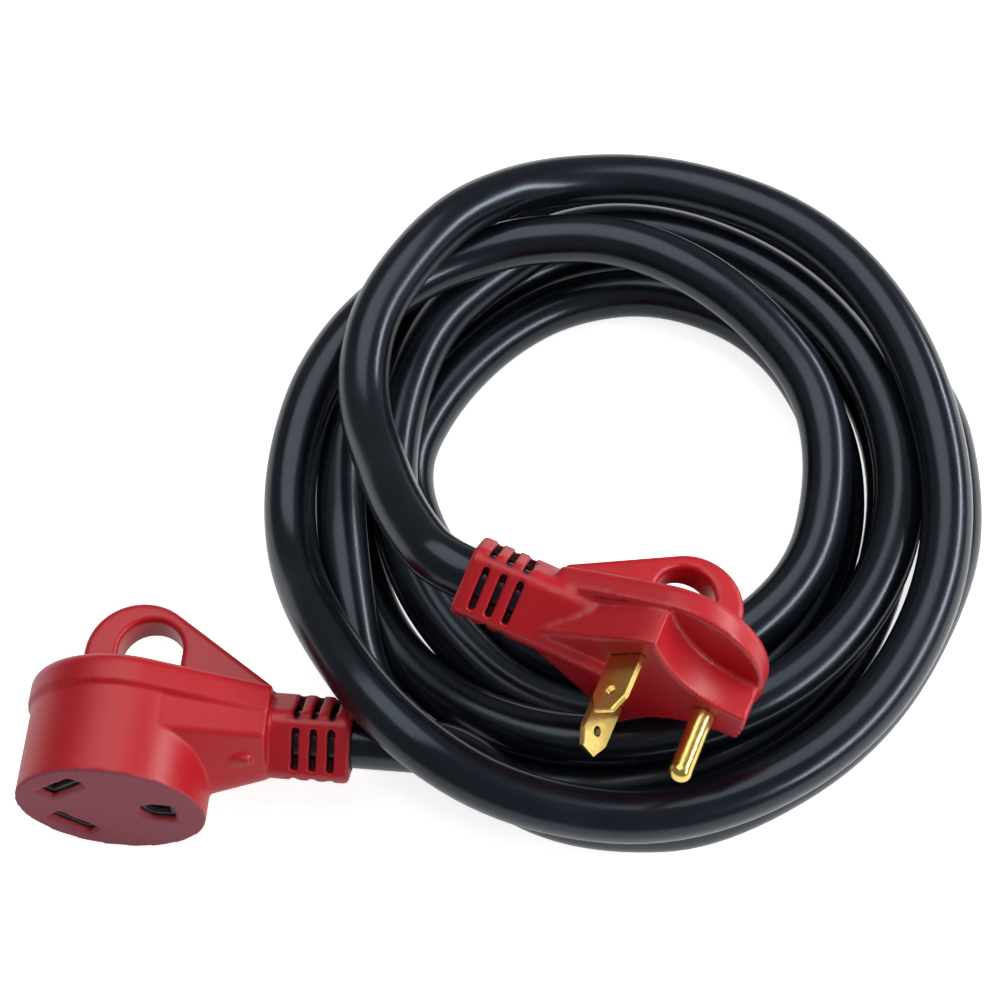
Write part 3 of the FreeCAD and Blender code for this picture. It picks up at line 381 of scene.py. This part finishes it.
jacket, tree, shader, add = new_material("black_jacket")
place = add("ShaderNodeTexCoord").outputs["Object"]
cloud = add("ShaderNodeTexNoise", Vector=place, Scale=35.0, Detail=5.0, Roughness=0.6)
jacket_colour = colour_ramp(add, cloud.outputs["Fac"], [(0.30, (0.0035, 0.0045, 0.0075)),
                                                        (0.60, (0.0055, 0.0070, 0.0110)),
                                                        (0.85, (0.0090, 0.0110, 0.0160))])
tree.links.new(jacket_colour, shader.inputs["Base Color"])
skin = add("ShaderNodeTexNoise", Vector=place, Scale=900.0, Detail=3.0, Roughness=0.6)
bump = add("ShaderNodeBump", Height=skin.outputs["Fac"], Strength=0.10, Distance=0.0002)
tree.links.new(bump.outputs["Normal"], shader.inputs["Normal"])
shader.inputs["Specular Tint"].default_value = (0.72, 0.84, 1.0, 1.0)
satin = add("ShaderNodeMapRange", Value=cloud.outputs["Fac"], _1=0.3, _2=0.75, _3=0.19, _4=0.29)
tree.links.new(satin.outputs["Result"], shader.inputs["Roughness"])
cable_curve.materials.append(jacket)
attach(cable, "root")
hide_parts("cable_coil", "cable_connector_lead")
dress(["plug_jacket_end", "connector_jacket_end"], jacket)

# Floor: a plain white sheet under everything, which keeps the object's soft shadow. It glows for
# the camera and, a little less, in what the glossy pieces mirror, and lights nothing.
sheet = bmesh.new()
bmesh.ops.create_grid(sheet, x_segments=1, y_segments=1, size=4.0)
floor_mesh = bpy.data.meshes.new("floor")
sheet.to_mesh(floor_mesh)
sheet.free()
floor_mesh.transform(Matrix.Translation((0.03, 0.09, -0.0002)))
floor = bpy.data.objects.new("floor", floor_mesh)
bpy.context.scene.collection.objects.link(floor)
paper, tree, shader, add = new_material("white_paper")
place = add("ShaderNodeTexCoord").outputs["Object"]
fibre = add("ShaderNodeTexNoise", Vector=place, Scale=300.0, Detail=2.0)
paper_colour = colour_ramp(add, fibre.outputs["Fac"], [(0.3, (0.86, 0.86, 0.86)), (0.7, (0.90, 0.90, 0.90))])
tree.links.new(paper_colour, shader.inputs["Base Color"])
shader.inputs["Roughness"].default_value = 0.9
ray = add("ShaderNodeLightPath")
mirrored = add("ShaderNodeMath", {"operation": "MULTIPLY"}, _0=ray.outputs["Is Glossy Ray"], _1=0.55)
seen = add("ShaderNodeMath", {"operation": "MAXIMUM"}, _0=ray.outputs["Is Camera Ray"],
           _1=mirrored.outputs["Value"])
glow = add("ShaderNodeMath", {"operation": "MULTIPLY"}, _0=seen.outputs["Value"], _1=0.80)
tree.links.new(glow.outputs["Value"], shader.inputs["Emission Strength"])
shader.inputs["Emission Color"].default_value = (1.0, 1.0, 1.0, 1.0)
floor_mesh.materials.append(paper)

# Light: a white studio with a wide soft lamp overhead and a long narrow one low on the right, which
# draws the bright lines along the cable.


def soft_lamp(name, at, aim, width, height, watts):
    """An oblong lamp at one point, turned to shine at another."""
    lamp = bpy.data.lights.new(name, "AREA")
    lamp.shape = "RECTANGLE"
    lamp.size = width
    lamp.size_y = height
    lamp.energy = watts
    stand = bpy.data.objects.new(name, lamp)
    stand.location = at
    stand.rotation_euler = (Vector(aim) - Vector(at)).to_track_quat("-Z", "Y").to_euler()
    bpy.context.scene.collection.objects.link(stand)


soft_lamp("overhead", (-0.10, 0.30, 1.1), (0.04, 0.08, 0.0), 1.0, 1.0, 6.5)
soft_lamp("right", (0.85, 0.05, 0.50), (0.03, 0.06, 0.0), 1.4, 0.14, 9.0)
world = bpy.data.worlds.new("white_room")
bpy.context.scene.world = world
world.use_nodes = True
sky = world.node_tree.nodes["Background"]
sky.inputs["Color"].default_value = (1.0, 1.0, 1.0, 1.0)
path = world.node_tree.nodes.new("ShaderNodeLightPath")
level = world.node_tree.nodes.new("ShaderNodeMapRange")
world.node_tree.links.new(path.outputs["Is Camera Ray"], level.inputs["Value"])
level.inputs["To Min"].default_value = 0.22
level.inputs["To Max"].default_value = 1.0
world.node_tree.links.new(level.outputs["Result"], sky.inputs["Strength"])

# Camera: above the connector's side of the coil, 60 degrees above the floor, with a long lens.
lens = bpy.data.cameras.new("camera")
lens.lens = 89.24
lens.sensor_width = 36.0
camera = bpy.data.objects.new("camera", lens)
camera.location = (0.03114, -0.30516, 0.6778)
camera.rotation_euler = (math.radians(30), 0.0, 0.0)
bpy.context.scene.collection.objects.link(camera)
bpy.context.scene.camera = camera
bpy.context.scene.view_settings.view_transform = "Standard"
